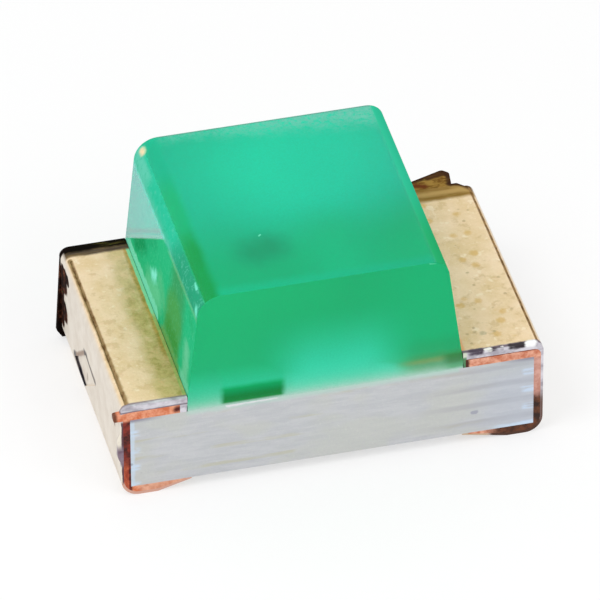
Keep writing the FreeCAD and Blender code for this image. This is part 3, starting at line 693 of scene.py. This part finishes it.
def cut_glow(r):
    """Brighter between the die pad and the land and along the foot, where the pale board shows through."""
    gap = r.both(r.step(r.x, -0.38, -0.08), r.step(r.x, 0.50, 0.12))
    middle = r.both(r.step(r.z, 0.92, 0.50), r.between(gap, 0.1, 1.0), r.step(r.x, 0.52, 0.15))
    # The glow at the foot reaches further right the lower it is
    reach = r.step(r.math("MULTIPLY_ADD", r.z, 1.5, r.x), 1.17, 1.00)
    foot = r.both(r.step(r.z, 0.70, 0.50), reach, r.between(r.step(r.x, -0.26, -0.16), 0.65, 1.0))
    glow = r.both(r.cut, r.either(middle, foot))
    r.coat(glow, (0.05, 0.94, 0.61, 1.0))
    r.thicken(glow, 0.15)


def land_shadow(r):
    """The right land in the lower right of the front: shade, the land's brown edge and its dark end."""
    corner = r.both(r.front, r.step(r.x, 0.28, 0.42))
    r.coat(r.both(corner, r.step(r.z, 0.68, 0.58)), (0.02, 0.55, 0.15, 1.0), 0.35)
    shadow = r.both(corner, r.step(r.ragged(r.z, 0.01, 20.0), 0.570, 0.525))
    r.coat(shadow, (0.05, 0.55, 0.13, 1.0), 0.8)
    level = r.ragged(r.z, 0.006, 20.0)
    land = r.both(corner, r.step(r.x, 0.57, 0.50), r.band(level, 0.496, 0.522, 0.012))
    r.coat(land, (0.25, 0.54, 0.10, 1.0))
    end = r.both(r.front, r.step(r.x, 0.50, 0.56), r.band(level, 0.475, 0.530, 0.012))
    r.coat(end, (0.03, 0.36, 0.04, 1.0))


def stub_shadow(r):
    """Painted shade of the left lead's stub, which ends just behind the front."""
    stub = r.both(r.front, r.band(r.ragged(r.x, 0.006, 25.0), -0.524, -0.231, 0.018))
    shade = r.both(stub, r.step(r.ragged(r.z, 0.004, 20.0), 0.555, 0.520))
    r.coat(shade, r.mix(r.step(r.z, 0.47, 0.53), (0.0, 0.30, 0.02, 1.0), (0.0, 0.56, 0.15, 1.0)))
    return stub, shade


def top_tints(r):
    """The top: painted light, brighter in its middle and along the front edge, and painted shade over the
    die.
    """
    lit = r.both(r.top, r.step(r.near((0.08, 0.25, TOP)), 0.68, 0.16))
    r.coat(lit, (0.0, 0.97, 0.62, 1.0))
    lobe = r.both(r.top, r.band(r.x, -0.05, 0.22, 0.18), r.step(r.y, 0.0, -0.35))
    r.coat(lobe, (0.0, 0.77, 0.35, 1.0))
    r.coat(r.both(r.top, r.step(r.ragged(r.y, 0.02, 20.0), -0.54, -0.61)), (0.0, 0.76, 0.40, 1.0), 0.8)
    # Painted shade of the die below
    die = r.mark(0.16, (-0.29, -0.345, TOP), (-0.23, -0.325, TOP), wander=0.03, core=0.05)
    r.coat(r.both(r.top, die), (0.0, 0.44, 0.20, 1.0), 0.8)
    # Paler, speckled back edge, with a thin dark line along it
    back = r.math("MULTIPLY_ADD", r.x, 0.12, r.ragged(r.y, 0.05, 12.0))
    pale_back = r.both(r.step(r.nz, 0.5, 0.7), r.step(back, 0.46, 0.64))
    r.coat(r.both(pale_back, r.step(r.noise(45.0, 4.0, 0.7), 0.3, 0.6)), (0.22, 0.76, 0.60, 1.0))
    r.coat(r.both(r.step(r.nz, 0.2, 0.4), r.step(r.y, 0.612, 0.62)), (0.16, 0.40, 0.34, 1.0), 0.7)
    r.thicken(pale_back, 0.15)


def rounded_edges(r):
    """Left round edge: a painted highlight band outside, scuffed at the front, and deeper green inside.
    Right one: duller, without gloss.
    """
    scuffed = r.step(r.ragged(r.y, 0.10, 9.0), -0.02, -0.26)
    mottle = r.noise(45.0, 4.0, 0.7)
    inner = r.both(r.left, r.step(r.nz, 0.66, 0.80), r.step(r.ragged(r.x, 0.01, 12.0), -0.50, -0.555))
    deep = r.mix(r.step(r.y, 0.15, 0.40), (0.0, 0.57, 0.23, 1.0), (0.0, 0.58, 0.34, 1.0))
    r.coat(inner, r.mix(scuffed, deep, (0.0, 0.40, 0.07, 1.0)))
    r.thicken(inner, 0.15)
    # Outer band: a painted highlight along the round edge, with scuffs at its front
    back = r.both(r.step(r.ragged(r.y, 0.06, 9.0), 0.30, 0.45), r.step(r.z, 1.04, 1.02))
    hazy = r.either(r.step(r.z, 1.01, 0.94), back)
    band = r.mix(scuffed, r.tones(hazy, (47, 188, 150), (94, 196, 170)), srgb(46, 154, 116))
    band = r.paint(band, r.both(r.step(mottle, 0.52, 0.68), r.between(scuffed, 0.5, 0.6)), (100, 200, 170))
    band = r.paint(band, r.step(mottle, 0.46, 0.32), (34, 168, 120), 0.5)
    outer = r.both(r.left, r.step(r.ragged(r.z, 0.012, 25.0), 0.925, 0.965))
    outer = r.both(outer, r.step(r.ragged(r.nz, 0.04, 25.0), 0.78, 0.68))
    r.coat(outer, band)
    r.thicken(outer, OPAQUE - RESIN_MILK)
    fade = r.both(r.right, r.step(r.nz, 0.99, 0.94), r.step(r.nz, 0.08, 0.2))
    r.coat(r.math("POWER", fade, 0.6), r.tones(r.near_half, (50, 188, 148), (40, 168, 104)))
    r.thicken(fade, OPAQUE - RESIN_MILK)
    return outer, fade


def left_wall(r):
    """The smooth left wall: a painted reflection of the backdrop in a pale triangle; below that it is
    greener, with painted reflections.
    """
    wall = r.both(r.left, r.side, r.step(r.ragged(r.z, 0.012, 25.0), 0.965, 0.925))
    depth = r.math("SUBTRACT", LENS_HIGH.y, r.y)
    rise = r.math("MULTIPLY_ADD", depth, -MIRROR_SLOPE, r.math("SUBTRACT", r.z, PAD_TOP))
    mirror = r.both(wall, r.step(rise, -0.006, 0.006))
    lower = r.both(wall, r.step(rise, 0.006, -0.006))
    r.coat(mirror, r.mix(r.step(r.y, 0.25, 0.55), (0.0, 0.86, 0.76, 1.0), (0.05, 0.78, 0.74, 1.0)))
    r.coat(r.both(wall, r.band(rise, 0.030, 0.055, 0.012)), (0.25, 0.45, 0.52, 1.0), 0.6)
    r.coat(r.both(wall, r.band(rise, 0.0, 0.020, 0.006)), (0.20, 0.80, 0.74, 1.0))
    r.coat(lower, (44, 182, 124))
    for width, core, start, end, tone in WALL_REFLECTIONS:
        ends = [(LENS_LOW.x + (z - PAD_TOP) * math.tan(LENS_DRAFT), y, z) for y, z in (start, end)]
        r.coat(r.both(lower, r.mark(width, *ends, wander=0.03, core=core)), tone)
    mottle = r.noise(55.0, 3.0, 0.7)
    r.coat(r.both(lower, r.step(mottle, 0.52, 0.72)), (106, 208, 160), 0.28)
    r.coat(r.both(lower, r.step(mottle, 0.45, 0.28)), (24, 132, 76), 0.30)
    r.thicken(lower, OPAQUE - RESIN_MILK)
    return mirror, lower


def specks(r):
    """Painted highlights as bright specks, and the cream spot in the back left corner."""
    for width, start, end in SPARKLES:
        speck = r.both(r.mark(width, start, end, wander=0.006, core=0.1), 0.7)
        r.coat(speck, (0.24, 0.95, 0.72, 1.0))
        r.thicken(speck, 0.4)
    cream = r.mark(0.030, (-0.606, 0.590, 1.035), (-0.606, 0.570, 1.035), wander=0.006, core=0.1)
    r.coat(cream, (0.85, 0.68, 0.42, 1.0))
    r.thicken(cream, 0.8)


def veil(r, stub):
    """Painted light from the pale board: the resin turns pale at its foot into a pale line, but not in front
    of the leads.
    """
    pale = r.math("MULTIPLY_ADD", r.ragged(r.z, 0.006, 30.0), -VEIL_FALL, VEIL_FALL * VEIL_FULL)
    pale = r.both(r.cut, r.math("MINIMUM", r.math("EXPONENT", pale), 1.0))
    pale = r.both(pale, r.between(r.both(stub, r.step(r.z, 0.440, 0.454)), 1.0, 0.05))
    land = r.both(r.front, r.step(r.x, 0.50, 0.57), r.step(r.z, 0.438, 0.452))
    pale = r.both(pale, r.between(land, 1.0, 0.45))
    r.milk = r.between(pale, r.math("MINIMUM", r.milk, 1.0), OPAQUE)
    r.coat(r.math("DIVIDE", pale, r.milk), (0.44, 0.62, 0.55, 1.0))


def fill(r):
    """The resin's inside: it takes out red, and the filler in it scatters."""
    absorb = r.node("ShaderNodeVolumeAbsorption")
    absorb.inputs["Color"].default_value = ABSORBED
    absorb.inputs["Density"].default_value = ABSORB_DENSITY
    scatter = r.node("ShaderNodeVolumeScatter")
    scatter.inputs["Color"].default_value = SCATTERED
    scatter.inputs["Density"].default_value = SCATTER_DENSITY
    scatter.inputs["Anisotropy"].default_value = SCATTER_FORWARD
    both = r.node("ShaderNodeAddShader")
    r.join(absorb.outputs[0], both.inputs[0])
    r.join(scatter.outputs[0], both.inputs[1])
    r.join(both.outputs[0], r.output.inputs["Volume"])


def resin():
    r = Resin()
    plain_tints(r)
    cut_glow(r)
    land_shadow(r)
    stub, shade = stub_shadow(r)
    top_tints(r)
    outer, fade = rounded_edges(r)
    mirror, lower = left_wall(r)
    specks(r)
    veil(r, stub)
    # Fine grain of the diffusing filler
    grain = r.noise(120.0, 3.0, 0.7)
    r.coat(r.step(grain, 0.35, 0.65), (0.02, 0.45, 0.22, 1.0), 0.15)
    r.bump(grain, 0.16, 0.003)
    clear = r.math("SUBTRACT", 1.0, r.math("MINIMUM", r.milk, 1.0))
    rough = r.between(r.side, r.between(outer, 0.22, 0.5), 0.06)
    gloss = r.both(r.between(mirror, 0.13, 0.5), r.between(r.either(lower, outer, fade), 1.0, 0.0))
    # The red in the gloss sets how warm the green looks
    sheen = r.mix(r.right_half, (0.38, 0.9, 0.8, 1.0), (0.50, 0.9, 0.9, 1.0))
    sheen = r.mix(r.near_half, sheen, (0.12, 0.9, 0.8, 1.0))
    sheen = r.mix(r.cut, sheen, (0.52, 0.9, 0.8, 1.0))
    sheen = r.mix(shade, sheen, (0.10, 0.9, 0.8, 1.0))
    r.set(Base_Color=r.base, Roughness=rough, Transmission_Weight=clear, IOR=1.5, Specular_IOR_Level=gloss,
          Specular_Tint=r.mix(mirror, sheen, (1.0, 1.0, 1.0, 1.0)))
    fill(r)
    return r.material


lens = make_lens()
lens.data.materials.append(resin())


# Floor, world and lamps
FLOOR_SIZE = 400 * MM
FLOOR_GLOW = 0.6
WORLD_LIGHT = 0.8
# Square lamps: name, azimuth, elevation, distance and width in mm, brightness
LAMPS = (("key_lamp", 70, 55, 30, 16, 4.0), ("fill_lamp", -40, 40, 30, 16, 2.0))


def make_floor():
    bpy.ops.mesh.primitive_grid_add(x_subdivisions=4, y_subdivisions=4, size=FLOOR_SIZE, location=(0, 0, 0))
    floor = bpy.context.object
    floor.name = "floor"
    r = Recipe("pale_floor")
    r.set(Base_Color=r.tones(r.noise(0.05, 2.0, 0.5), (236, 236, 236), (244, 244, 244)), Roughness=0.8)
    glow = r.node("ShaderNodeEmission")
    glow.inputs["Strength"].default_value = 1.0
    path = r.node("ShaderNodeLightPath").outputs
    seen = r.either(path["Is Camera Ray"], path["Is Glossy Ray"], path["Is Transmission Ray"])
    blend = r.node("ShaderNodeMixShader")
    r.join(r.math("MULTIPLY", seen, FLOOR_GLOW), blend.inputs[0])
    r.join(r.shader.outputs[0], blend.inputs[1])
    r.join(glow.outputs[0], blend.inputs[2])
    r.join(blend.outputs[0], r.output.inputs["Surface"])
    floor.data.materials.append(r.material)


def make_world():
    """A white backdrop that lights the part a little less than it shows."""
    world = bpy.data.worlds.new("studio")
    bpy.context.scene.world = world
    world.use_nodes = True
    tree = world.node_tree
    background = tree.nodes["Background"]
    background.inputs["Color"].default_value = (1.0, 1.0, 1.0, 1.0)
    path = tree.nodes.new("ShaderNodeLightPath")
    seen = path.outputs["Is Camera Ray"]
    for ray in ("Is Glossy Ray", "Is Transmission Ray"):
        largest = tree.nodes.new("ShaderNodeMath")
        largest.operation = "MAXIMUM"
        tree.links.new(seen, largest.inputs[0])
        tree.links.new(path.outputs[ray], largest.inputs[1])
        seen = largest.outputs[0]
    level = tree.nodes.new("ShaderNodeMapRange")
    level.inputs["To Min"].default_value = WORLD_LIGHT
    level.inputs["To Max"].default_value = 1.0
    tree.links.new(seen, level.inputs["Value"])
    tree.links.new(level.outputs[0], background.inputs["Strength"])


def softbox(name, azimuth, elevation, distance, width, radiance):
    """A square lamp aimed at the part, as bright as a surface of the given radiance."""
    data = bpy.data.lights.new(name, "AREA")
    data.shape = "SQUARE"
    data.size = width * MM
    data.energy = radiance * math.pi * (width * MM) ** 2
    lamp = bpy.data.objects.new(name, data)
    bpy.context.scene.collection.objects.link(lamp)
    spot = place(math.radians(azimuth), math.radians(elevation), distance * MM, CAMERA_AIM)
    lamp.location = spot
    lamp.rotation_euler = (CAMERA_AIM - spot).to_track_quat("-Z", "Y").to_euler()


make_floor()
make_world()
for lamp in LAMPS:
    softbox(*lamp)
bpy.context.scene.view_settings.view_transform = "Standard"
bpy.context.scene.cycles.volume_bounces = 8
